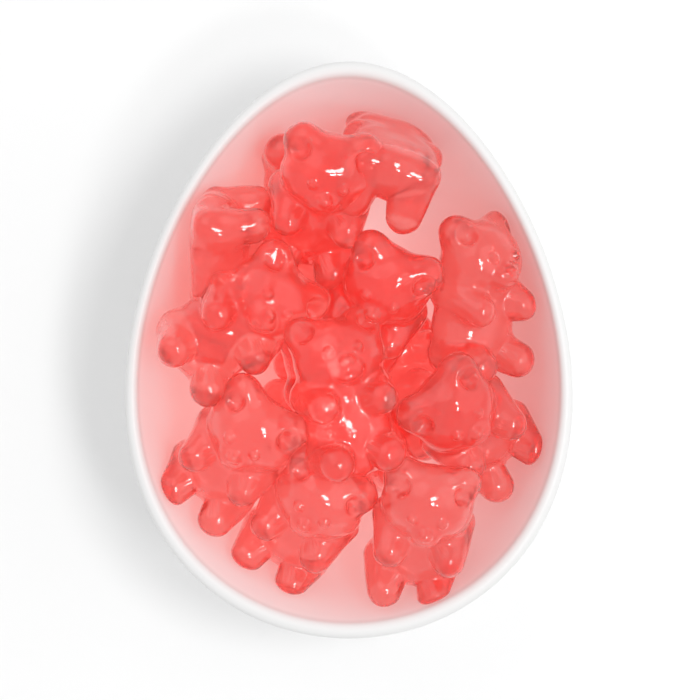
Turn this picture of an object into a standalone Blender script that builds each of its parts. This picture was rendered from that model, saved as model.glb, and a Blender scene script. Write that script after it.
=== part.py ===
"""Gummy bears heaped in an egg-shaped porcelain dish.

Two closed solids, in metres, with +Z up: the dish, and the whole heap of bears.
The dish stands on z = 0 with its narrow end towards +Y. Run it with
blender --background --python part.py, or from the text editor.
"""
import math

import bmesh
import bpy
import numpy as np

MM = 0.001
HEAP_NODE = "gummy_bears"
DISH_NODE = "egg_dish"

# The dish, in millimetres.
DISH_LENGTH = 75.0
DISH_WIDTH = 57.4
DISH_HEIGHT = 28.0
EGG_TAPER = 0.17
WALL = 1.9
FLOOR_THICKNESS = 2.6
FOOT_SHARE = 0.42
INNER_FLAT_SHARE = 0.32
WALL_POWER = 2.2
TURNING_RADIUS = 33.0
DISH_STEPS = 44
WALL_POINTS = 11
LIP_POINTS = 5

# The heap.
TOUCH_GAP = 0.35
SQUASH = 0.82
SWEEPS = 300
SINK = 0.2
OUTSIDE_SLOPE = 40.0
CORE_SHARE = 0.70
CORE_MIDDLE = 12.0
CORE_CROWN = 9.5
CORE_SEGMENTS = 24
CORE_RINGS = 12
BEAR_RINGS = 20
BEAR_SEGMENTS = 21

GUMMY_COLOUR = (0.83, 0.105, 0.09, 1.0)
PORCELAIN_COLOUR = (0.86, 0.85, 0.84, 1.0)

# One bear, in millimetres: X across, Y towards the crown, Z out of the front.
# Its flat back lies on Z = 0 and it is alike on both sides of X = 0.
BEAR_MIDDLE = (0.0, 0.0, 4.5)
SPINE_TOP = (0.0, 4.6, 3.4)
SPINE_FOOT = (0.0, -5.2, 3.4)

# Its round masses: centre and radii.
BELLY = ((0.0, -3.6, 3.0), (5.8, 7.0, 4.9))
HEAD = ((0.0, 5.0, 4.0), (6.0, 5.4, 4.9))
EAR = ((4.0, 8.9, 3.1), (2.4, 2.3, 2.3))
EAR_HOLLOW = ((4.2, 9.1, 5.6), (1.3, 1.3, 1.3))
SNOUT = ((0.0, 3.9, 7.6), (2.3, 1.9, 2.2))
NOSE = ((0.0, 4.8, 9.4), (0.9, 0.65, 0.7))

# Its limbs: start, end, radius at the start and at the end.
ARM = ((4.3, 0.8, 2.8), (3.8, -0.6, 8.2), 2.5, 2.15)
LEG = ((3.7, -7.4, 3.0), (3.4, -7.9, 8.4), 2.8, 2.35)

# How the skin is found: the farthest it reaches from the spine, the step of the first search,
# and the halvings that follow it.
LONGEST_REACH = 12.5
REACH_STEP = 0.25
HALVINGS = 14
CAP_SHARE = 0.34
FRONT_CROWDING = 0.30

# Balls that stand for a bear while the heap settles: centre and radius.
BALLS = (
    ((0.0, 5.0, 4.1), 4.7), ((-4.1, 8.8, 2.9), 2.1), ((4.1, 8.8, 2.9), 2.1),
    ((0.0, 4.1, 7.8), 1.9), ((-2.2, -1.5, 3.4), 3.3), ((2.2, -1.5, 3.4), 3.3),
    ((0.0, -5.6, 3.6), 3.4), ((-4.0, 0.0, 5.4), 2.2), ((4.0, 0.0, 5.4), 2.2),
    ((-3.8, -0.6, 8.2), 2.1), ((3.8, -0.6, 8.2), 2.1), ((-3.7, -7.4, 3.0), 2.7),
    ((3.7, -7.4, 3.0), 2.7), ((-3.5, -7.7, 5.8), 2.5), ((3.5, -7.7, 5.8), 2.5),
    ((-3.4, -7.9, 8.4), 2.3), ((3.4, -7.9, 8.4), 2.3),
)

# Each bear: name, the X, Y and Z that its middle starts from, the way its head points, how far
# the head is raised, how far it is rolled to its right, how firmly it keeps to its X and Y, and
# how far it is pressed down into what it lies on.
BEARS = (
    ("under_middle", 1.0, -3.0, 8.0, 20, 0, 0, 0.0, 0.0),
    ("under_front", 0.0, -18.0, 10.0, 170, 5, 0, 0.0, 0.0),
    ("low_right", 8.5, -5.0, 14.0, 120, 0, 40, 0.02, 0.0),
    ("low_middle", -1.0, -8.0, 16.0, 100, 0, 180, 0.02, 0.0),
    ("left_end", -6.3, 19.5, 12.0, -92, -6, 0, 0.2, 0.0),
    ("right_end", 4.6, 25.4, 17.0, 88, -70, -163, 0.2, 3.5),
    ("left_shoulder", -16.1, 10.5, 14.0, -92, -27, -91, 0.2, 0.0),
    ("right_side", 17.6, 7.0, 14.0, 87, 14, 43, 0.2, 1.0),
    ("left_side", -15.2, -13.6, 15.0, 50, 44, 4, 0.2, 1.5),
    ("front_left", -5.9, -23.7, 16.0, 54, 48, 4, 0.2, 1.0),
    ("front_right", 8.5, -22.6, 16.0, 78, 45, 4, 0.2, 2.5),
    ("right_front", 16.3, -9.9, 17.0, 138, 52, -4, 0.2, 2.5),
    ("middle_back", 3.2, 5.6, 27.0, 61, 50, 4, 0.2, 0.0),
    ("left_top", -14.2, 3.6, 25.0, 36, 12, 18, 0.2, 1.0),
    ("back_top", -2.9, 18.4, 25.0, 74, 42, 8, 0.2, 0.0),
    ("middle_top", 0.1, -6.8, 29.0, 100, 4, 12, 0.2, 2.5),
)


def collection(name, hidden=False):
    """A new collection in the scene."""
    group = bpy.data.collections.new(name)
    group.hide_render = hidden
    bpy.context.scene.collection.children.link(group)
    return group


def material(name, colour, roughness, transmission=0.0, ior=1.5):
    """A Principled material with one colour and finish."""
    made = bpy.data.materials.new(name)
    made.use_nodes = True
    made.diffuse_color = colour
    shader = made.node_tree.nodes["Principled BSDF"]
    shader.inputs["Base Color"].default_value = colour
    shader.inputs["Roughness"].default_value = roughness
    shader.inputs["Metallic"].default_value = 0.0
    shader.inputs["Transmission Weight"].default_value = transmission
    shader.inputs["IOR"].default_value = ior
    return made


def new_object(name, mesh, group, finish=None):
    """Link an object for the mesh, with its finish if it has one."""
    item = bpy.data.objects.new(name, mesh)
    if finish:
        mesh.materials.append(finish)
    group.objects.link(item)
    return item


def rising_wall(inner_share, outer_share, low, high, count):
    """Radius shares and heights of a wall whose height grows with a power of how far out it is."""
    out = np.linspace(0.0, 1.0, count)
    share = inner_share + (outer_share - inner_share) * out
    return np.stack([share, low + (high - low) * out**WALL_POWER], axis=1)


def dish_profile():
    """Shares of the turning radius and heights, from the inner middle over the lip to the foot."""
    lip = WALL / 2
    lip_share = lip / TURNING_RADIUS
    shoulder = DISH_HEIGHT - lip
    inner = rising_wall(INNER_FLAT_SHARE, 1.0 - 2 * lip_share, FLOOR_THICKNESS, shoulder, WALL_POINTS)
    outer = rising_wall(FOOT_SHARE, 1.0, 0.0, shoulder, WALL_POINTS)[::-1]
    bend = np.linspace(math.pi, 0.0, LIP_POINTS + 2)[1:-1]
    over = np.stack([1.0 - lip_share + lip_share * np.cos(bend), shoulder + lip * np.sin(bend)], axis=1)
    middle = np.array([[0.0, FLOOR_THICKNESS]])
    foot = np.array([[0.0, 0.0]])
    return np.concatenate([middle, inner, over, outer, foot])


def egg_warp(points):
    """Stretch points turned at the turning radius into the egg outline, in millimetres."""
    across = points[..., 0] / TURNING_RADIUS
    along = points[..., 1] / TURNING_RADIUS
    x = across * DISH_WIDTH / 2 * (1.0 - EGG_TAPER * along)
    y = along * DISH_LENGTH / 2
    return np.stack([x, y, points[..., 2]], axis=-1)


def egg_share(x, y, inset):
    """How far out a point lies between the middle (0) and the dish's outline less an inset (1)."""
    along = y / (DISH_LENGTH / 2 - inset)
    across = x / ((DISH_WIDTH / 2 - inset) * (1.0 - EGG_TAPER * along))
    return np.hypot(across, along)


def bowl_level(x, y, inset):
    """Height of the surface that lies an inset above the dish's inner face; high outside it."""
    share = egg_share(x, y, WALL + inset)
    out = np.clip((share - INNER_FLAT_SHARE) / (1.0 - INNER_FLAT_SHARE), 0.0, 1.0)
    depth = DISH_HEIGHT - WALL / 2 - FLOOR_THICKNESS - inset
    level = FLOOR_THICKNESS + inset + depth * out**WALL_POWER
    return level + OUTSIDE_SLOPE * np.maximum(share - 1.0, 0.0)


def keep_inside(points):
    """Press points that would cross the dish's inner face back to a small gap from it."""
    x, y, z = points[..., 0], points[..., 1], points[..., 2]
    z = np.maximum(z, FLOOR_THICKNESS + TOUCH_GAP)
    depth = DISH_HEIGHT - WALL / 2 - FLOOR_THICKNESS - TOUCH_GAP
    out = np.clip((z - FLOOR_THICKNESS - TOUCH_GAP) / depth, 0.0, 1.0)**(1.0 / WALL_POWER)
    limit = INNER_FLAT_SHARE + (1.0 - INNER_FLAT_SHARE) * out
    share = egg_share(x, y, WALL + TOUCH_GAP)
    pull = np.minimum(1.0, limit / np.maximum(share, 1e-6))
    for _ in range(3):
        share = egg_share(x * pull, y * pull, WALL + TOUCH_GAP)
        pull = pull * np.minimum(1.0, limit / np.maximum(share, 1e-6))
    return np.stack([x * pull, y * pull, z], axis=-1)


def blend(first, second, softness):
    """Join two shapes given as distances, with a soft fillet where they meet."""
    share = np.clip(0.5 + 0.5 * (second - first) / softness, 0.0, 1.0)
    return second + (first - second) * share - softness * share * (1.0 - share)


def egg(points, centre, radii):
    """Distance, about, to an ellipsoid."""
    offset = points - np.array(centre)
    radii = np.array(radii)
    near = np.linalg.norm(offset / radii, axis=-1)
    steep = np.linalg.norm(offset / radii**2, axis=-1)
    return near * (near - 1.0) / np.maximum(steep, 1e-9)


def limb(points, start, end, start_radius, end_radius):
    """Distance to a round limb that tapers from its start to its end."""
    start = np.array(start)
    run = np.array(end) - start
    along = np.clip((points - start) @ run / (run @ run), 0.0, 1.0)
    radius = start_radius + (end_radius - start_radius) * along
    return np.linalg.norm(points - start - along[..., None] * run, axis=-1) - radius


def bear_skin(points):
    """Distance to a bear's skin, below 0 inside: rounded masses joined by soft fillets."""
    one_side = points.copy()
    one_side[..., 0] = np.abs(points[..., 0])
    skin = blend(egg(points, *BELLY), egg(points, *HEAD), 2.0)
    skin = blend(skin, egg(one_side, *EAR), 1.8)
    skin = blend(skin, limb(one_side, *ARM), 1.1)
    skin = blend(skin, limb(one_side, *LEG), 1.1)
    skin = blend(skin, egg(points, *SNOUT), 0.8)
    skin = blend(skin, egg(points, *NOSE), 0.3)
    skin = -blend(-skin, egg(one_side, *EAR_HOLLOW), 0.5)
    return -blend(-skin, points[..., 2], 1.2)


def reach_skin(origins, rays):
    """Points where rays from inside the bear leave its outermost skin, found by halving."""
    far = np.full(rays.shape[:-1], LONGEST_REACH)
    searching = np.ones(far.shape, bool)
    for _ in range(int(LONGEST_REACH / REACH_STEP) - 2):
        inside = bear_skin(origins + rays * (far - REACH_STEP)[..., None]) < 0.0
        searching &= ~inside
        far = np.where(searching, far - REACH_STEP, far)
    near = far - REACH_STEP
    for _ in range(HALVINGS):
        middle = (near + far) / 2
        inside = bear_skin(origins + rays * middle[..., None]) < 0.0
        near = np.where(inside, middle, near)
        far = np.where(inside, far, middle)
    return origins + rays * ((near + far) / 2)[..., None]


def bear_points(along, around):
    """Points on the skin: along runs 0 to 1 from crown to seat, around turns from the front.

    Rays leave a short spine square to it, fan out over the crown and under the seat, and are
    crowded a little towards the front, where the paws and the face are.
    """
    over_crown = np.minimum(along / CAP_SHARE, 1.0)
    under_seat = np.minimum((1.0 - along) / CAP_SHARE, 1.0)
    tilt = (1.0 + over_crown - under_seat) * math.pi / 2
    slide = np.clip((along - CAP_SHARE) / (1.0 - 2 * CAP_SHARE), 0.0, 1.0)
    turn = around - FRONT_CROWDING * np.sin(around)
    top = np.array(SPINE_TOP)
    origins = top + slide[..., None] * (np.array(SPINE_FOOT) - top)
    rays = np.stack([np.sin(tilt) * np.sin(turn), np.cos(tilt), np.sin(tilt) * np.cos(turn)], axis=-1)
    return reach_skin(origins, rays)


def bear_turn(heading, lean, roll):
    """Rotation whose columns are the bear's right, crown and front directions."""
    heading, lean, roll = (math.radians(value) for value in (heading, lean, roll))
    flat = np.array([math.cos(heading), math.sin(heading), 0.0])
    up = np.array([0.0, 0.0, 1.0])
    crown = flat * math.cos(lean) + up * math.sin(lean)
    face = up * math.cos(lean) - flat * math.sin(lean)
    right = np.cross(crown, face)
    front = face * math.cos(roll) + right * math.sin(roll)
    return np.stack([np.cross(crown, front), crown, front], axis=1)


def weighted_push(directions, depths, axes):
    """Average of the directions weighted by depth, which a few deep touches decide."""
    total = np.maximum(depths.sum(axis=axes), 1e-9)
    return (directions * (depths**2)[..., None]).sum(axis=axes) / total[..., None]


def settle(bears):
    """Where the bears' middles come to rest: they sink, and touching balls push them apart."""
    places = np.array([bear[1:4] for bear in bears])
    start = places[:, :2].copy()
    hold = np.array([bear[7] for bear in bears])[:, None]
    centres = np.array([ball[0] for ball in BALLS]) - np.array(BEAR_MIDDLE)
    turned = np.array([centres @ bear_turn(*bear[4:7]).T for bear in bears])
    thick = np.tile(np.array([ball[1] for ball in BALLS]) * SQUASH, (len(bears), 1))
    owner = np.repeat(np.arange(len(bears)), len(BALLS))
    others = owner[:, None] != owner[None]
    radii = thick.ravel()
    for sweep in range(SWEEPS):
        places[:, 2] -= SINK * (1.0 - sweep / SWEEPS)
        places[:, :2] += hold * (start - places[:, :2])
        balls = places[:, None] + turned
        flat = balls.reshape(-1, 3)
        apart = flat[:, None] - flat[None]
        distance = np.maximum(np.linalg.norm(apart, axis=-1), 1e-6)
        depth = np.where(others, np.maximum(radii[:, None] + radii[None] - distance, 0.0), 0.0)
        shape = (len(bears), len(BALLS), len(flat))
        push = weighted_push((apart / distance[..., None]).reshape(*shape, 3), depth.reshape(shape), (1, 2))
        places += 0.5 * push
        balls = places[:, None] + turned
        x, y = balls[..., 0], balls[..., 1]
        level = bowl_level(x, y, thick)
        slope_x = (bowl_level(x + 0.1, y, thick) - level) / 0.1
        slope_y = (bowl_level(x, y + 0.1, thick) - level) / 0.1
        steep = np.sqrt(1.0 + slope_x**2 + slope_y**2)
        sunk = np.maximum(level - balls[..., 2], 0.0) / steep
        normal = np.stack([-slope_x, -slope_y, np.ones_like(steep)], axis=-1) / steep[..., None]
        places += weighted_push(normal, sunk, 1)
    places[:, 2] -= [bear[8] for bear in bears]
    return places


def make_dish(group):
    """The dish: a turned profile, stretched to the egg outline."""
    profile = dish_profile()
    mesh = bpy.data.meshes.new(DISH_NODE)
    rows = [(share * TURNING_RADIUS, 0.0, height) for share, height in profile]
    mesh.from_pydata(rows, [(i, i + 1) for i in range(len(rows) - 1)], [])
    dish = new_object(DISH_NODE, mesh, group, material("porcelain", PORCELAIN_COLOUR, 0.12))
    turning = dish.modifiers.new("turned", "SCREW")
    turning.axis = "Z"
    turning.angle = math.tau
    turning.steps = DISH_STEPS
    turning.render_steps = DISH_STEPS
    turning.use_merge_vertices = True
    turning.merge_threshold = 0.0001
    turning.use_smooth_shade = True
    apply_modifiers(dish)
    points = np.array([vertex.co for vertex in dish.data.vertices])
    write_points(dish.data, egg_warp(points) * MM)
    return dish


def apply_modifiers(item):
    """Replace an object's mesh by what its modifiers make of it."""
    bpy.context.view_layer.update()
    evaluated = item.evaluated_get(bpy.context.evaluated_depsgraph_get())
    baked = bpy.data.meshes.new_from_object(evaluated)
    baked.name = item.name
    item.modifiers.clear()
    item.data = baked


def write_points(mesh, points):
    """Put an array of points into a mesh's vertices."""
    mesh.vertices.foreach_set("co", points.astype(np.float32).ravel())
    mesh.update()


def ball_mesh(name, segments, rings):
    """A sphere primitive of radius 1, and its vertices as shares along and turns around."""
    mesh = bpy.data.meshes.new(name)
    work = bmesh.new()
    bmesh.ops.create_uvsphere(work, u_segments=segments, v_segments=rings, radius=1.0)
    work.to_mesh(mesh)
    work.free()
    points = np.array([vertex.co for vertex in mesh.vertices])
    along = np.arccos(np.clip(points[:, 2], -1.0, 1.0)) / math.pi
    around = np.arctan2(-points[:, 0], points[:, 1])
    return mesh, along, around


def make_bear(bear, place, group):
    """One bear, with its sphere's vertices moved out to the skin and laid in its place."""
    name, heading, lean, roll = bear[0], *bear[4:7]
    mesh, along, around = ball_mesh(name, BEAR_SEGMENTS, BEAR_RINGS)
    local = bear_points(along, around) - np.array(BEAR_MIDDLE)
    placed = local @ bear_turn(heading, lean, roll).T + place
    write_points(mesh, keep_inside(placed) * MM)
    return new_object(name, mesh, group)


def make_core(group):
    """The smaller lump that carries the bears that show, in the place of those under them."""
    mesh, along, around = ball_mesh("core", CORE_SEGMENTS, CORE_RINGS)
    out = np.sin(along * math.pi) * TURNING_RADIUS * CORE_SHARE
    up = np.cos(along * math.pi)
    z = CORE_MIDDLE + up * np.where(up > 0.0, CORE_CROWN, CORE_MIDDLE)
    points = egg_warp(np.stack([out * np.cos(around), out * np.sin(around), z], axis=1))
    write_points(mesh, keep_inside(points) * MM)
    return new_object("core", mesh, group)


def shells(work):
    """The mesh's faces in groups that hang together over edges of two faces, the smallest first."""
    groups = []
    seen = set()
    for start in work.faces:
        if start in seen:
            continue
        seen.add(start)
        group = [start]
        for face in group:
            for edge in face.edges:
                for other in edge.link_faces if len(edge.link_faces) == 2 else ():
                    if other not in seen:
                        seen.add(other)
                        group.append(other)
        groups.append(group)
    return sorted(groups, key=len)


def tidy_join(item):
    """Split the faces into triangles, and drop loose scraps and hollows shut inside."""
    work = bmesh.new()
    work.from_mesh(item.data)
    bmesh.ops.triangulate(work, faces=work.faces)
    loose = [face for group in shells(work)[:-1] for face in group]
    bmesh.ops.delete(work, geom=loose, context="FACES")
    work.to_mesh(item.data)
    work.free()


def make_heap(group):
    """The heap: the core and every bear joined into one closed solid."""
    pieces = collection("heap_pieces", hidden=True)
    for bear, place in zip(BEARS, settle(BEARS)):
        if bear[7] > 0.0:
            make_bear(bear, place, pieces)
    core = make_core(group)
    join = core.modifiers.new("join", "BOOLEAN")
    join.operation = "UNION"
    join.operand_type = "COLLECTION"
    join.collection = pieces
    join.solver = "MANIFOLD"
    apply_modifiers(core)
    for piece in list(pieces.objects):
        bpy.data.objects.remove(piece)
    bpy.data.collections.remove(pieces)
    core.name = HEAP_NODE
    core.data.name = HEAP_NODE
    tidy_join(core)
    core.data.materials.clear()
    core.data.materials.append(material("gummy", GUMMY_COLOUR, 0.18, transmission=0.6, ior=1.4))
    for polygon in core.data.polygons:
        polygon.use_smooth = True
        polygon.material_index = 0
    return core


def main():
    for item in list(bpy.data.objects):
        bpy.data.objects.remove(item)
    group = collection("gummy_bears_in_egg_dish")
    make_dish(group)
    make_heap(group)


main()
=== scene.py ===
"""Gummy bears heaped in an egg-shaped porcelain dish: their looks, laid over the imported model.

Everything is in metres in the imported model's frame, with +Z up and the dish's narrow end
towards +Y. Shapes are worked out in millimetres and turned to metres as they go into a mesh.
"""
import math

import bpy
import numpy as np
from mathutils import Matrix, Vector


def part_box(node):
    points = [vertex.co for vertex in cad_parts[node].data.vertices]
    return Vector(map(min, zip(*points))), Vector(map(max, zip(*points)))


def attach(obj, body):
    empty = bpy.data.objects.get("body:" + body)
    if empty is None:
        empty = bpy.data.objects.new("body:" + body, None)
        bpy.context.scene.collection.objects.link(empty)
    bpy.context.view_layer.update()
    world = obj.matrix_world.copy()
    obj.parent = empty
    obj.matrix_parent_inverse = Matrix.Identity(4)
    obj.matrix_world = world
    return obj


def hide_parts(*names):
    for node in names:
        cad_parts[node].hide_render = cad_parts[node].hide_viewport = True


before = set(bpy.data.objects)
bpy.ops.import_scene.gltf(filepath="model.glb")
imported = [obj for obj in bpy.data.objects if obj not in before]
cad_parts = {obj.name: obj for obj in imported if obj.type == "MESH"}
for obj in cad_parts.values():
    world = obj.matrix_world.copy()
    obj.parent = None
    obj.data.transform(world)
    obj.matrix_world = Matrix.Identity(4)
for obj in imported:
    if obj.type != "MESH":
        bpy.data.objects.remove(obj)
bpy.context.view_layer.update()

bl_info = {
    "name": "Gummy bears in an egg dish",
    "version": (1, 0, 0),
    "blender": (4, 5, 0),
    "location": "View3D > Sidebar > Sweets",
    "description": "Builds a porcelain egg dish, the clear gummy bears heaped in it, and their stage",
    "category": "Object",
}

MM = 0.001
HEAP_NODE = "gummy_bears"
DISH_NODE = "egg_dish"
DISH_LOW, DISH_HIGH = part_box(DISH_NODE)

# The dish's profile, as shares of its outline and in millimetres.
EGG_TAPER = 0.17
TAPER_WIDENING = 0.986
FLOOR_THICKNESS = 2.6
FOOT_SHARE = 0.42
INNER_FLAT_SHARE = 0.32
WALL_POWER = 2.2
# Where the round lip meets the inner and the outer face, in degrees from straight out.
LIP_INNER_TURN = 161.0
LIP_OUTER_TURN = -18.0
LIP_POINTS = 12
TURNING_RADIUS = 33.0

# How the heap settles, in millimetres: each sweep lets the bears sink, ever less, and then moves
# them by a share of how deep they touch. Past the rim the ground rises steeply.
SWEEPS = 300
SINK = 0.2
PUSH_SHARE = 0.5
SQUASH = 0.82
SLOPE_STEP = 0.1
OUTSIDE_SLOPE = 40.0

# How a bear is pressed against the dish: the gap it keeps, in millimetres, and how softly.
TOUCH_GAP = 0.35
PRESS_SOFTNESS = 0.06
PRESS_ROUNDS = 5

# One bear, in millimetres: X across, Y towards the crown, Z out of the front.
# Its flat back lies on Z = 0 and it is alike on both sides of X = 0.
BEAR_MIDDLE = (0.0, 0.0, 4.5)
SPINE_TOP = (0.0, 4.6, 3.4)
SPINE_FOOT = (0.0, -5.2, 3.4)

# Its round masses: centre and radii.
BELLY = ((0.0, -3.6, 3.0), (5.8, 7.0, 4.9))
HEAD = ((0.0, 5.0, 4.0), (6.0, 5.4, 4.9))
EAR = ((4.0, 8.9, 3.1), (2.4, 2.3, 2.3))
EAR_HOLLOW = ((4.2, 9.1, 5.6), (1.3, 1.3, 1.3))
SNOUT = ((0.0, 3.9, 7.7), (2.35, 2.0, 2.4))
NOSE = ((0.0, 4.9, 9.7), (0.95, 0.7, 0.75))
EYE = ((1.95, 6.3, 8.35), (0.72, 0.75, 0.8))
MOUTH = ((0.0, 3.0, 9.9), (1.0, 0.3, 0.5))

# Its limbs: start, end, radius at the start and at the end.
ARM = ((4.3, 0.8, 2.8), (3.8, -0.6, 8.2), 2.5, 2.15)
LEG = ((3.7, -7.4, 3.0), (3.4, -7.9, 8.4), 2.8, 2.35)

# How the skin is found along rays from the spine.
LONGEST_REACH = 12.5
REACH_STEP = 0.25
HALVINGS = 14
CAP_SHARE = 0.34
FRONT_CROWDING = 0.30

# Slow waves that set each bear's skin apart from the others'.
WAVES = 6
WAVE_RATE = 0.55

# Balls that stand for a bear while the heap settles: centre and radius.
BALLS = (
    ((0.0, 5.0, 4.1), 4.7), ((-4.1, 8.8, 2.9), 2.1), ((4.1, 8.8, 2.9), 2.1),
    ((0.0, 4.1, 7.8), 1.9), ((-2.2, -1.5, 3.4), 3.3), ((2.2, -1.5, 3.4), 3.3),
    ((0.0, -5.6, 3.6), 3.4), ((-4.0, 0.0, 5.4), 2.2), ((4.0, 0.0, 5.4), 2.2),
    ((-3.8, -0.6, 8.2), 2.1), ((3.8, -0.6, 8.2), 2.1), ((-3.7, -7.4, 3.0), 2.7),
    ((3.7, -7.4, 3.0), 2.7), ((-3.5, -7.7, 5.8), 2.5), ((3.5, -7.7, 5.8), 2.5),
    ((-3.4, -7.9, 8.4), 2.3), ((3.4, -7.9, 8.4), 2.3),
)

# Each bear: name, the X, Y and Z that its middle starts from, the way its head points, how far
# the head is raised, how far it is rolled to its right, how firmly it keeps to its X and Y, and
# how far it is pressed down into what it lies on.
BEARS = (
    ("under_middle", 1.0, -3.0, 8.0, 20, 0, 0, 0.0, 0.0),
    ("under_front", 0.0, -18.0, 10.0, 170, 5, 0, 0.0, 0.0),
    ("low_right", 8.5, -5.0, 14.0, 120, 0, 40, 0.02, 0.0),
    ("low_middle", -1.0, -8.0, 16.0, 100, 0, 180, 0.02, 0.0),
    ("left_end", -6.3, 19.5, 12.0, -92, -6, 0, 0.2, 0.0),
    ("right_end", 4.6, 25.4, 17.0, 88, -70, -163, 0.2, 3.5),
    ("left_shoulder", -16.1, 10.5, 14.0, -92, -27, -91, 0.2, 0.0),
    ("right_side", 17.6, 7.0, 14.0, 87, 14, 43, 0.2, 1.0),
    ("left_side", -15.2, -13.6, 15.0, 50, 44, 4, 0.2, 1.5),
    ("front_left", -5.9, -23.7, 16.0, 54, 48, 4, 0.2, 1.0),
    ("front_right", 8.5, -22.6, 16.0, 78, 45, 4, 0.2, 2.5),
    ("right_front", 16.3, -9.9, 17.0, 138, 52, -4, 0.2, 2.5),
    ("middle_back", 3.2, 5.6, 27.0, 61, 50, 4, 0.2, 0.0),
    ("left_top", -14.2, 3.6, 25.0, 36, 12, 18, 0.2, 1.0),
    ("back_top", -2.9, 18.4, 25.0, 74, 42, 8, 0.2, 0.0),
    ("middle_top", 0.1, -6.8, 29.0, 100, 4, 12, 0.2, 2.5),
)

# Each light: name, width and power, and where it hangs. All are aimed at the heap's middle.
LIGHTS = (
    ("key_light", 0.15, 0.84, (0.18, 0.00, 0.60)),
    ("glint_light", 0.08, 0.32, (0.16, -0.15, 0.50)),
    ("side_light", 0.60, 0.40, (0.40, 0.05, 0.40)),
    ("back_light", 0.60, 0.45, (-0.20, 0.35, 0.45)),
)
LIGHT_AIM = (0.0, 0.0, 0.02)
AIR_STRENGTH = 0.70
CAMERA_ASIDE = 0.00013


class DishSettings(bpy.types.PropertyGroup):
    """Sizes and glaze of the egg dish."""

    length: bpy.props.FloatProperty(
        name="Length", description="Outer length, from the wide end to the narrow end",
        default=DISH_HIGH.y - DISH_LOW.y, min=0.03, max=0.4, subtype="DISTANCE", unit="LENGTH")
    width: bpy.props.FloatProperty(
        name="Width", description="Outer width where the egg is widest",
        default=DISH_HIGH.x - DISH_LOW.x, min=0.02, max=0.3, subtype="DISTANCE", unit="LENGTH")
    height: bpy.props.FloatProperty(
        name="Height", description="Height of the rim above the table",
        default=DISH_HIGH.z, min=0.01, max=0.1, subtype="DISTANCE", unit="LENGTH")
    wall: bpy.props.FloatProperty(
        name="Wall", description="Thickness of the wall at the rim",
        default=0.0019, min=0.001, max=0.005, precision=4, subtype="DISTANCE", unit="LENGTH")
    steps: bpy.props.IntProperty(
        name="Steps round", description="Faces round the dish", default=192, min=24, max=512)
    wall_points: bpy.props.IntProperty(
        name="Steps up the wall", description="Faces up each side of the wall", default=44,
        min=8, max=128)
    colour: bpy.props.FloatVectorProperty(
        name="Porcelain", description="Colour under the glaze", subtype="COLOR", size=3,
        default=(0.94, 0.937, 0.933), min=0.0, max=1.0)
    # The lip colour is painted shade: greyer than the porcelain so that the up-facing rim, lit more
    # than the walls, comes out no brighter.
    lip_shade_colour: bpy.props.FloatVectorProperty(
        name="Lip", description="Colour where the glaze runs thin over the lip", subtype="COLOR",
        size=3, default=(0.79, 0.787, 0.785), min=0.0, max=1.0)


class BearSettings(bpy.types.PropertyGroup):
    """How finely the bears are made, and what their gel is like."""

    rings: bpy.props.IntProperty(
        name="Rings", description="Rows of faces from crown to seat", default=120, min=16, max=256)
    segments: bpy.props.IntProperty(
        name="Segments", description="Faces round the body", default=144, min=16, max=256)
    ripple: bpy.props.FloatProperty(
        name="Ripple", description="How unevenly each bear came out of its mould",
        default=0.00012, min=0.0, max=0.001, precision=5, subtype="DISTANCE", unit="LENGTH")
    surface: bpy.props.FloatVectorProperty(
        name="Surface tint", description="Tint that light takes as it enters the gel", subtype="COLOR",
        size=3, default=(1.0, 0.50, 0.475), min=0.0, max=1.0)
    depth_tint: bpy.props.FloatVectorProperty(
        name="Depth tint", description="Colour that deep gel lets through", subtype="COLOR", size=3,
        default=(0.955, 0.075, 0.06), min=0.0, max=1.0)
    depth_density: bpy.props.FloatProperty(
        name="Depth density", description="How soon the depth tint builds up, per metre",
        default=44.0, min=0.0, max=1000.0)
    milk: bpy.props.FloatVectorProperty(
        name="Milk", description="Colour of the gel's faint milkiness", subtype="COLOR", size=3,
        default=(0.97, 0.20, 0.17), min=0.0, max=1.0)
    milkiness: bpy.props.FloatProperty(
        name="Milkiness", description="Share of light that the gel scatters and doesn't let through",
        default=0.22, min=0.0, max=1.0, subtype="FACTOR")
    passing_tint: bpy.props.FloatVectorProperty(
        name="Passing tint", description="Tint of each skin for light on its way to other surfaces",
        subtype="COLOR", size=3, default=(0.99, 0.86, 0.845), min=0.0, max=1.0)


class StageSettings(bpy.types.PropertyGroup):
    """The table, the lights and the view."""

    table_size: bpy.props.FloatProperty(
        name="Table", description="Side of the square table top", default=1.6, min=0.3, max=10.0,
        subtype="DISTANCE", unit="LENGTH")
    table_colour: bpy.props.FloatVectorProperty(
        name="Table colour", description="Colour of the table top", subtype="COLOR", size=3,
        default=(0.90, 0.90, 0.90), min=0.0, max=1.0)
    camera_height: bpy.props.FloatProperty(
        name="Camera height", description="Height of the camera above the table",
        default=0.48, min=0.1, max=5.0, subtype="DISTANCE", unit="LENGTH")
    view_width: bpy.props.FloatProperty(
        name="View width", description="Width of the picture at the height of the rim",
        default=0.0908, min=0.02, max=1.0, precision=4, subtype="DISTANCE", unit="LENGTH")


def material(name):
    """A node material with its tree, its Principled shader and its output."""
    made = bpy.data.materials.new(name)
    made.use_nodes = True
    tree = made.node_tree
    return made, tree, tree.nodes["Principled BSDF"], tree.nodes["Material Output"]


def add_noise(tree, scale, detail):
    """Noise on the piece's own coordinates; its scale is in waves a metre."""
    where = tree.nodes.new("ShaderNodeTexCoord")
    noise = tree.nodes.new("ShaderNodeTexNoise")
    noise.inputs["Scale"].default_value = scale
    noise.inputs["Detail"].default_value = detail
    tree.links.new(where.outputs["Object"], noise.inputs["Vector"])
    return noise


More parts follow.
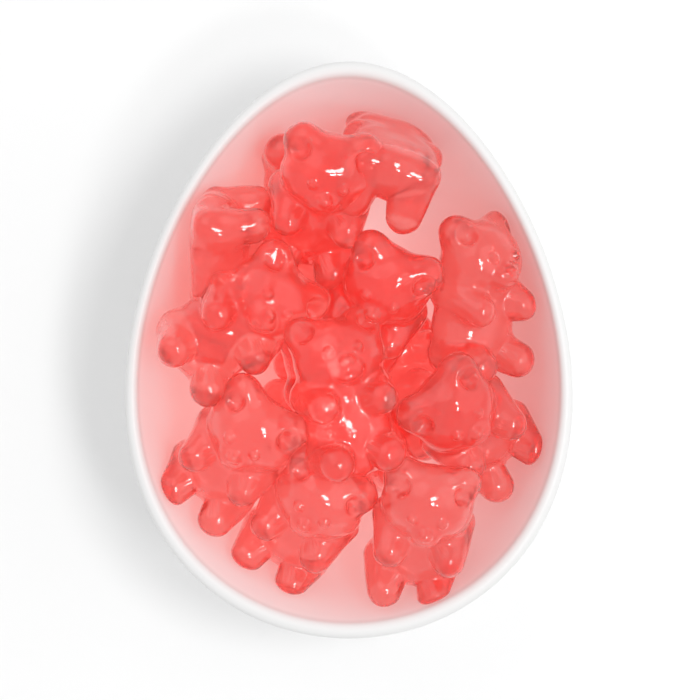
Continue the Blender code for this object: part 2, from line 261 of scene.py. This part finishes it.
def add_ramp(tree, source, first, last):
    """A colour ramp over a value, between two stops of place and colour."""
    ramp = tree.nodes.new("ShaderNodeValToRGB")
    for element, (place, colour) in zip(ramp.color_ramp.elements, (first, last)):
        element.position = place
        element.color = (*colour, 1.0)
    tree.links.new(source, ramp.inputs["Fac"])
    return ramp


def add_range(tree, source, low, high):
    """A value of 0 to 1 spread over a range."""
    spread = tree.nodes.new("ShaderNodeMapRange")
    spread.inputs["To Min"].default_value = low
    spread.inputs["To Max"].default_value = high
    tree.links.new(source, spread.inputs["Value"])
    return spread


def add_bump(tree, source, height, below=None):
    """A bump of a height in metres, over another bump if one is given."""
    bump = tree.nodes.new("ShaderNodeBump")
    bump.inputs["Distance"].default_value = height
    bump.inputs["Strength"].default_value = 1.0
    tree.links.new(source, bump.inputs["Height"])
    if below:
        tree.links.new(below.outputs["Normal"], bump.inputs["Normal"])
    return bump


def gel_material(look):
    """Clear red gel with a faint milkiness.

    A clear shader and a milky one are mixed; both are as glossy and share one bump. Part of the
    tint builds up with depth. Light on its way to other surfaces goes straight through.
    """
    made, tree, clear, output = material("red_gel")
    milky = tree.nodes.new("ShaderNodeBsdfPrincipled")
    deeper = tuple(part**1.25 for part in look.milk)
    patches = add_noise(tree, 160.0, 2.0)
    ramp = add_ramp(tree, patches.outputs["Fac"], (0.3, look.milk), (0.7, deeper))
    tree.links.new(ramp.outputs["Color"], milky.inputs["Base Color"])
    milky.inputs["Subsurface Weight"].default_value = 1.0
    milky.inputs["Subsurface Radius"].default_value = (0.004, 0.0012, 0.001)
    milky.inputs["Subsurface Scale"].default_value = 1.0
    clear.inputs["Base Color"].default_value = (*look.surface, 1.0)
    clear.inputs["Transmission Weight"].default_value = 1.0
    smears = add_noise(tree, 420.0, 3.0)
    sheen = add_range(tree, smears.outputs["Fac"], 0.08, 0.2)
    waves = add_bump(tree, add_noise(tree, 260.0, 1.5).outputs["Fac"], 0.00022)
    grain = add_bump(tree, add_noise(tree, 1600.0, 2.0).outputs["Fac"], 0.00002, waves)
    for shader in (clear, milky):
        shader.inputs["IOR"].default_value = 1.17
        shader.inputs["Coat Weight"].default_value = 1.0
        shader.inputs["Coat Roughness"].default_value = 0.03
        shader.inputs["Coat IOR"].default_value = 1.6
        tree.links.new(sheen.outputs["Result"], shader.inputs["Roughness"])
        tree.links.new(grain.outputs["Normal"], shader.inputs["Normal"])
        tree.links.new(grain.outputs["Normal"], shader.inputs["Coat Normal"])
    gel = tree.nodes.new("ShaderNodeMixShader")
    gel.inputs["Fac"].default_value = look.milkiness
    tree.links.new(clear.outputs["BSDF"], gel.inputs[1])
    tree.links.new(milky.outputs["BSDF"], gel.inputs[2])

    depth = tree.nodes.new("ShaderNodeVolumeAbsorption")
    depth.inputs["Color"].default_value = (*look.depth_tint, 1.0)
    depth.inputs["Density"].default_value = look.depth_density
    tree.links.new(depth.outputs["Volume"], output.inputs["Volume"])

    path = tree.nodes.new("ShaderNodeLightPath")
    through = tree.nodes.new("ShaderNodeBsdfTransparent")
    through.inputs["Color"].default_value = (*look.passing_tint, 1.0)
    shown = gel.outputs["Shader"]
    for kind in ("Is Diffuse Ray", "Is Shadow Ray"):
        either = tree.nodes.new("ShaderNodeMixShader")
        tree.links.new(path.outputs[kind], either.inputs["Fac"])
        tree.links.new(shown, either.inputs[1])
        tree.links.new(through.outputs["BSDF"], either.inputs[2])
        shown = either.outputs["Shader"]
    tree.links.new(shown, output.inputs["Surface"])
    return made


def porcelain_material(look):
    """White porcelain: a smooth glaze and a matt foot, with painted shade that greys the lip, since
    its up-facing top catches more light than the walls.
    """
    made, tree, shader, _ = material("white_porcelain")
    white = tuple(look.colour)
    cooler = (white[0] * 0.985, white[1] * 0.99, white[2])
    clouds = add_noise(tree, 45.0, 3.0)
    ramp = add_ramp(tree, clouds.outputs["Fac"], (0.35, white), (0.7, cooler))
    where = tree.nodes.new("ShaderNodeTexCoord")
    split = tree.nodes.new("ShaderNodeSeparateXYZ")
    tree.links.new(where.outputs["Object"], split.inputs["Vector"])
    # Painted shade: the colour turns to the lip colour over the last 1.6 mm below the rim, darkening
    # the up-facing lip that the lamps light most.
    lip_shade_mask = add_range(tree, split.outputs["Z"], 0.0, 1.0)
    lip_shade_mask.inputs["From Min"].default_value = look.height - 0.0016
    lip_shade_mask.inputs["From Max"].default_value = look.height - 0.0004
    lip_shade_mask.interpolation_type = "SMOOTHSTEP"
    glaze = tree.nodes.new("ShaderNodeMix")
    glaze.data_type = "RGBA"
    glaze.inputs["B"].default_value = (*look.lip_shade_colour, 1.0)
    tree.links.new(lip_shade_mask.outputs["Result"], glaze.inputs["Factor"])
    tree.links.new(ramp.outputs["Color"], glaze.inputs["A"])
    tree.links.new(glaze.outputs["Result"], shader.inputs["Base Color"])
    bare = add_range(tree, split.outputs["Z"], 0.75, 0.30)
    bare.inputs["From Min"].default_value = 0.0002
    bare.inputs["From Max"].default_value = 0.0007
    tree.links.new(bare.outputs["Result"], shader.inputs["Roughness"])
    shader.inputs["IOR"].default_value = 1.33
    waves = add_bump(tree, add_noise(tree, 70.0, 1.0).outputs["Fac"], 0.00008)
    pits = add_bump(tree, add_noise(tree, 2500.0, 2.0).outputs["Fac"], 0.000004, waves)
    tree.links.new(pits.outputs["Normal"], shader.inputs["Normal"])
    return made


def table_material(look):
    """A pale matt table top, very faintly mottled."""
    made, tree, shader, _ = material("pale_table")
    pale = tuple(look.table_colour)
    darker = tuple(part * 0.992 for part in pale)
    ramp = add_ramp(tree, add_noise(tree, 30.0, 2.0).outputs["Fac"], (0.3, pale), (0.7, darker))
    tree.links.new(ramp.outputs["Color"], shader.inputs["Base Color"])
    shader.inputs["Roughness"].default_value = 0.85
    return made


def closed_mesh(name, points, start, end, finish):
    """A smooth closed mesh over a grid of points, rows by columns, shut at both ends by a point.

    Each row is a closed ring. Neighbouring rows are joined by four-sided faces, and the first
    and last rows by three-sided ones to the start and end points.
    """
    rows, columns = points.shape[:2]
    number = np.arange(rows * columns).reshape(rows, columns)
    beside = np.roll(number, -1, axis=1)
    four = np.stack([number[:-1], number[1:], beside[1:], beside[:-1]], axis=-1).reshape(-1, 4)
    first = np.full(columns, rows * columns)
    last = first + 1
    three = np.concatenate([
        np.stack([first, number[0], beside[0]], axis=-1),
        np.stack([last, beside[-1], number[-1]], axis=-1)])
    corners = np.concatenate([points.reshape(-1, 3), [start, end]]) * MM
    mesh = bpy.data.meshes.new(name)
    mesh.from_pydata(corners, [], four.tolist() + three.tolist())
    mesh.shade_smooth()
    mesh.materials.append(finish)
    piece = bpy.data.objects.new(name, mesh)
    bpy.context.scene.collection.objects.link(piece)
    return piece


def rising_wall(inner_share, outer_share, low, high, count):
    """Radius shares and heights of a wall that curves up from flat.

    Its height grows with a power of how far out it is, between its flat and the rim.
    """
    out = np.linspace(0.0, 1.0, count)
    share = inner_share + (outer_share - inner_share) * out
    return np.stack([share, low + (high - low) * out**WALL_POWER], axis=1)


def egg_warp(points, length, width):
    """Stretch points turned at the turning radius into the egg outline.

    X grows with the width and shrinks evenly towards the narrow end; Y grows with the length.
    """
    across = points[..., 0] / TURNING_RADIUS
    along = points[..., 1] / TURNING_RADIUS
    x = across * width / 2 * (1.0 - EGG_TAPER * along)
    y = along * length / 2
    return np.stack([x, y, points[..., 2]], axis=-1)


class Bowl:
    """The dish's sizes in millimetres, and where a point lies against its inner face."""

    def __init__(self, look):
        self.length = look.length / MM
        self.width = look.width / MM * TAPER_WIDENING
        self.height = look.height / MM
        self.wall = look.wall / MM

    def profile(self, count):
        """Shares of the turning radius and heights, from the inner flat over the lip to the foot.

        The lip is an arc of half the wall's thickness, from where it meets the inner face
        without a kink to where it meets the outer one.
        """
        lip = self.wall / 2
        bend = np.radians(np.linspace(LIP_INNER_TURN, LIP_OUTER_TURN, LIP_POINTS))
        over = np.stack([1.0 - lip / TURNING_RADIUS * (1.0 - np.cos(bend)),
                         self.height - lip * (1.0 - np.sin(bend))], axis=1)
        inner = rising_wall(INNER_FLAT_SHARE, over[0, 0], FLOOR_THICKNESS, over[0, 1], count)[:-1]
        outer = rising_wall(FOOT_SHARE, over[-1, 0], 0.0, over[-1, 1], count)[:-1][::-1]
        return np.concatenate([inner, over, outer])

    def share(self, x, y, inset):
        """How far out a point lies between the middle, 0, and the outline less an inset, 1."""
        along = y / (self.length / 2 - inset)
        across = x / ((self.width / 2 - inset) * (1.0 - EGG_TAPER * along))
        return np.hypot(across, along)

    def level(self, x, y, inset):
        """Height of the surface that lies an inset above the inner face; high outside it."""
        share = self.share(x, y, self.wall + inset)
        out = np.clip((share - INNER_FLAT_SHARE) / (1.0 - INNER_FLAT_SHARE), 0.0, 1.0)
        depth = self.height - self.wall / 2 - FLOOR_THICKNESS - inset
        past_rim = OUTSIDE_SLOPE * np.maximum(share - 1.0, 0.0)
        return FLOOR_THICKNESS + inset + depth * out**WALL_POWER + past_rim

    def keep_inside(self, points):
        """Press points that would cross the inner face back to a small gap from it.

        Each point is drawn towards the middle by the lesser of 1 and what its height allows,
        with a soft bend between the two, so that what is pressed flat keeps no sharp edge.
        """
        x, y, z = points[..., 0], points[..., 1], points[..., 2]
        z = np.maximum(z, FLOOR_THICKNESS + TOUCH_GAP)
        depth = self.height - self.wall / 2 - FLOOR_THICKNESS - TOUCH_GAP
        out = np.clip((z - FLOOR_THICKNESS - TOUCH_GAP) / depth, 0.0, 1.0)**(1.0 / WALL_POWER)
        limit = INNER_FLAT_SHARE + (1.0 - INNER_FLAT_SHARE) * out
        allowed = np.ones_like(x)
        for _ in range(PRESS_ROUNDS):
            share = self.share(x * allowed, y * allowed, self.wall + TOUCH_GAP)
            allowed = allowed * limit / np.maximum(share, 1e-6)
        pull = blend(np.ones_like(x), allowed, PRESS_SOFTNESS)
        return np.stack([x * pull, y * pull, z], axis=-1)


def blend(first, second, softness):
    """The lesser of two distances, with a soft fillet where they are nearly alike."""
    share = np.clip(0.5 + 0.5 * (second - first) / softness, 0.0, 1.0)
    return second + (first - second) * share - softness * share * (1.0 - share)


def egg(points, centre, radii):
    """Distance, about, to an ellipsoid: its own measure of nearness over how fast that changes."""
    offset = points - np.array(centre)
    radii = np.array(radii)
    near = np.linalg.norm(offset / radii, axis=-1)
    steep = np.linalg.norm(offset / radii**2, axis=-1)
    return near * (near - 1.0) / np.maximum(steep, 1e-9)


def limb(points, start, end, start_radius, end_radius):
    """Distance to a round limb: to the nearest point of its middle line, less its radius there."""
    start = np.array(start)
    run = np.array(end) - start
    along = np.clip((points - start) @ run / (run @ run), 0.0, 1.0)
    radius = start_radius + (end_radius - start_radius) * along
    return np.linalg.norm(points - start - along[..., None] * run, axis=-1) - radius


def bear_skin(points):
    """Distance to a bear's skin, below 0 inside: rounded masses joined by soft fillets."""
    one_side = points.copy()
    one_side[..., 0] = np.abs(points[..., 0])
    skin = blend(egg(points, *BELLY), egg(points, *HEAD), 2.0)
    skin = blend(skin, egg(one_side, *EAR), 1.8)
    skin = blend(skin, limb(one_side, *ARM), 1.1)
    skin = blend(skin, limb(one_side, *LEG), 1.1)
    skin = blend(skin, egg(points, *SNOUT), 0.45)
    skin = blend(skin, egg(points, *NOSE), 0.3)
    skin = blend(skin, egg(one_side, *EYE), 0.25)
    skin = -blend(-skin, egg(points, *MOUTH), 0.2)
    skin = -blend(-skin, egg(one_side, *EAR_HOLLOW), 0.5)
    return -blend(-skin, points[..., 2], 1.2)


def reach_skin(origins, rays):
    """Points where rays from inside the bear leave its outermost skin, found by halving."""
    far = np.full(rays.shape[:-1], LONGEST_REACH)
    searching = np.ones(far.shape, bool)
    for _ in range(int(LONGEST_REACH / REACH_STEP) - 2):
        inside = bear_skin(origins + rays * (far - REACH_STEP)[..., None]) < 0.0
        searching &= ~inside
        far = np.where(searching, far - REACH_STEP, far)
    near = far - REACH_STEP
    for _ in range(HALVINGS):
        middle = (near + far) / 2
        inside = bear_skin(origins + rays * middle[..., None]) < 0.0
        near = np.where(inside, middle, near)
        far = np.where(inside, far, middle)
    return origins + rays * ((near + far) / 2)[..., None]


def bear_points(along, around, ripple, seed):
    """Points on the skin: along runs 0 to 1 from crown to seat, around turns from the front.

    Rays leave a short spine square to it, fan out over the crown and under the seat, and are
    crowded a little towards the front. Each point is then moved along its ray by a few slow
    sine waves, whose directions and phases are the bear's own.
    """
    over_crown = np.minimum(along / CAP_SHARE, 1.0)
    under_seat = np.minimum((1.0 - along) / CAP_SHARE, 1.0)
    tilt = (1.0 + over_crown - under_seat) * math.pi / 2
    slide = np.clip((along - CAP_SHARE) / (1.0 - 2 * CAP_SHARE), 0.0, 1.0)
    turn = around - FRONT_CROWDING * np.sin(around)
    top = np.array(SPINE_TOP)
    origins = top + slide[..., None] * (np.array(SPINE_FOOT) - top)
    rays = np.stack(
        [np.sin(tilt) * np.sin(turn), np.cos(tilt), np.sin(tilt) * np.cos(turn)], axis=-1)
    skin = reach_skin(origins, rays)
    own = np.random.default_rng(seed)
    waves = own.normal(size=(WAVES, 3)) * WAVE_RATE
    phases = own.uniform(0.0, math.tau, WAVES)
    move = np.sin(skin @ waves.T + phases).sum(axis=-1) * ripple / 2
    return skin + rays * move[..., None]


def bear_turn(heading, lean, roll):
    """Rotation whose columns are the bear's right, crown and front directions."""
    heading, lean, roll = (math.radians(value) for value in (heading, lean, roll))
    flat = np.array([math.cos(heading), math.sin(heading), 0.0])
    up = np.array([0.0, 0.0, 1.0])
    crown = flat * math.cos(lean) + up * math.sin(lean)
    face = up * math.cos(lean) - flat * math.sin(lean)
    right = np.cross(crown, face)
    front = face * math.cos(roll) + right * math.sin(roll)
    return np.stack([np.cross(crown, front), crown, front], axis=1)


def weighted_push(directions, depths, axes):
    """Average of the directions weighted by depth, which a few deep touches decide."""
    total = np.maximum(depths.sum(axis=axes), 1e-9)
    return (directions * (depths**2)[..., None]).sum(axis=axes) / total[..., None]


def settle(bears, bowl):
    """Where the bears' middles come to rest: they sink, and touching balls push them apart."""
    places = np.array([bear[1:4] for bear in bears])
    start = places[:, :2].copy()
    hold = np.array([bear[7] for bear in bears])[:, None]
    centres = np.array([ball[0] for ball in BALLS]) - np.array(BEAR_MIDDLE)
    turned = np.array([centres @ bear_turn(*bear[4:7]).T for bear in bears])
    thick = np.tile(np.array([ball[1] for ball in BALLS]) * SQUASH, (len(bears), 1))
    owner = np.repeat(np.arange(len(bears)), len(BALLS))
    others = owner[:, None] != owner[None]
    radii = thick.ravel()
    for sweep in range(SWEEPS):
        places[:, 2] -= SINK * (1.0 - sweep / SWEEPS)
        places[:, :2] += hold * (start - places[:, :2])
        balls = places[:, None] + turned
        flat = balls.reshape(-1, 3)
        apart = flat[:, None] - flat[None]
        distance = np.maximum(np.linalg.norm(apart, axis=-1), 1e-6)
        depth = np.where(others, np.maximum(radii[:, None] + radii[None] - distance, 0.0), 0.0)
        shape = (len(bears), len(BALLS), len(flat))
        away = (apart / distance[..., None]).reshape(*shape, 3)
        places += PUSH_SHARE * weighted_push(away, depth.reshape(shape), (1, 2))
        balls = places[:, None] + turned
        x, y = balls[..., 0], balls[..., 1]
        level = bowl.level(x, y, thick)
        slope_x = (bowl.level(x + SLOPE_STEP, y, thick) - level) / SLOPE_STEP
        slope_y = (bowl.level(x, y + SLOPE_STEP, thick) - level) / SLOPE_STEP
        steep = np.sqrt(1.0 + slope_x**2 + slope_y**2)
        sunk = np.maximum(level - balls[..., 2], 0.0) / steep
        normal = np.stack([-slope_x, -slope_y, np.ones_like(steep)], axis=-1) / steep[..., None]
        places += weighted_push(normal, sunk, 1)
    places[:, 2] -= [bear[8] for bear in bears]
    return places


def make_bear(bear, place, bowl, look, finish, seed):
    """One bear: its skin worked out on a grid, turned, laid in its place and kept in the dish."""
    along = np.linspace(0.0, 1.0, look.rings + 1)
    around = np.arange(look.segments) * math.tau / look.segments
    grid = np.meshgrid(along, around, indexing="ij")
    local = bear_points(*grid, look.ripple / MM, seed) - np.array(BEAR_MIDDLE)
    placed = bowl.keep_inside(local @ bear_turn(*bear[4:7]).T + place)
    return closed_mesh(bear[0], placed[1:-1], placed[0, 0], placed[-1, 0], finish)


class SWEETS_OT_egg_dish(bpy.types.Operator):
    """Make the porcelain dish with its egg outline"""

    bl_idname = "sweets.egg_dish"
    bl_label = "Egg dish"

    def execute(self, context):
        look = context.scene.sweets_dish
        bowl = Bowl(look)
        profile = bowl.profile(look.wall_points)
        turn = np.arange(look.steps) * math.tau / look.steps
        radius = profile[:, :1] * TURNING_RADIUS
        height = np.broadcast_to(profile[:, 1:], (len(profile), look.steps))
        points = np.stack([radius * np.cos(turn), radius * np.sin(turn), height], axis=-1)
        points = egg_warp(points, bowl.length, bowl.width)
        floor = (0.0, 0.0, FLOOR_THICKNESS)
        foot = (0.0, 0.0, 0.0)
        dish = closed_mesh("porcelain_egg_dish", points, floor, foot, porcelain_material(look))
        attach(dish, "root")
        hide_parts(DISH_NODE)
        return {"FINISHED"}


class SWEETS_OT_gummy_bears(bpy.types.Operator):
    """Make the heap of clear gummy bears, each one a piece of its own"""

    bl_idname = "sweets.gummy_bears"
    bl_label = "Gummy bears"

    def execute(self, context):
        look = context.scene.sweets_bears
        bowl = Bowl(context.scene.sweets_dish)
        finish = gel_material(look)
        for seed, (bear, place) in enumerate(zip(BEARS, settle(BEARS, bowl))):
            piece = make_bear(bear, place, bowl, look, finish, seed)
            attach(piece, "root")
            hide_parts(HEAP_NODE)
        return {"FINISHED"}


def add_light(name, width, power, place):
    """A soft round light of a width, aimed at the heap."""
    lamp = bpy.data.lights.new(name, "AREA")
    lamp.shape = "DISK"
    lamp.size = width
    lamp.energy = power
    item = bpy.data.objects.new(name, lamp)
    item.location = place
    aim = Vector(LIGHT_AIM) - Vector(place)
    item.rotation_euler = aim.to_track_quat("-Z", "Y").to_euler()
    bpy.context.scene.collection.objects.link(item)


def add_air():
    """Even white light from all round."""
    air = bpy.data.worlds.new("studio_air")
    air.use_nodes = True
    glow = air.node_tree.nodes["Background"]
    glow.inputs["Color"].default_value = (1.0, 1.0, 1.0, 1.0)
    glow.inputs["Strength"].default_value = AIR_STRENGTH
    bpy.context.scene.world = air


def follow_light_through_gel(paths):
    """Let light cross many clear bears before it is given up."""
    paths.max_bounces = 14
    paths.transmission_bounces = 14
    paths.glossy_bounces = 4
    paths.diffuse_bounces = 4
    paths.transparent_max_bounces = 32


class SWEETS_OT_stage(bpy.types.Operator):
    """Make the table top, the lights and the camera over the dish"""

    bl_idname = "sweets.stage"
    bl_label = "Table, lights and camera"

    def execute(self, context):
        look = context.scene.sweets_stage
        half = look.table_size / 2
        mesh = bpy.data.meshes.new("table_top")
        corners = [(-half, -half, 0), (half, -half, 0), (half, half, 0), (-half, half, 0)]
        mesh.from_pydata(corners, [], [(0, 1, 2, 3)])
        mesh.materials.append(table_material(look))
        table = bpy.data.objects.new("table_top", mesh)
        context.scene.collection.objects.link(table)

        for light in LIGHTS:
            add_light(*light)
        add_air()

        camera = bpy.data.cameras.new("view_from_above")
        rim = context.scene.sweets_dish.height
        camera.lens = camera.sensor_width * (look.camera_height - rim) / look.view_width
        item = bpy.data.objects.new("view_from_above", camera)
        item.location = (CAMERA_ASIDE, 0.0, look.camera_height)
        context.scene.collection.objects.link(item)
        context.scene.camera = item
        context.scene.view_settings.view_transform = "Standard"
        follow_light_through_gel(context.scene.cycles)
        return {"FINISHED"}


class SWEETS_PT_panel(bpy.types.Panel):
    """Lists the pieces and their settings"""

    bl_label = "Gummy bears in a dish"
    bl_idname = "SWEETS_PT_panel"
    bl_space_type = "VIEW_3D"
    bl_region_type = "UI"
    bl_category = "Sweets"

    def draw(self, context):
        layout = self.layout
        for operator, settings in SECTIONS:
            box = layout.box()
            box.operator(operator.bl_idname)
            group = getattr(context.scene, settings)
            for name in group.__annotations__:
                box.prop(group, name)


SECTIONS = (
    (SWEETS_OT_egg_dish, "sweets_dish"),
    (SWEETS_OT_gummy_bears, "sweets_bears"),
    (SWEETS_OT_stage, "sweets_stage"),
)
CLASSES = (DishSettings, BearSettings, StageSettings, SWEETS_OT_egg_dish, SWEETS_OT_gummy_bears,
           SWEETS_OT_stage, SWEETS_PT_panel)


def register():
    """Register the classes and hang the settings on the scene."""
    for item in CLASSES:
        bpy.utils.register_class(item)
    bpy.types.Scene.sweets_dish = bpy.props.PointerProperty(type=DishSettings)
    bpy.types.Scene.sweets_bears = bpy.props.PointerProperty(type=BearSettings)
    bpy.types.Scene.sweets_stage = bpy.props.PointerProperty(type=StageSettings)


def unregister():
    """Take the settings off the scene and unregister the classes."""
    del bpy.types.Scene.sweets_stage
    del bpy.types.Scene.sweets_bears
    del bpy.types.Scene.sweets_dish
    for item in reversed(CLASSES):
        bpy.utils.unregister_class(item)


def main():
    """Build every piece and the stage."""
    register()
    bpy.ops.sweets.egg_dish()
    bpy.ops.sweets.gummy_bears()
    bpy.ops.sweets.stage()


if __name__ == "__main__":
    main()
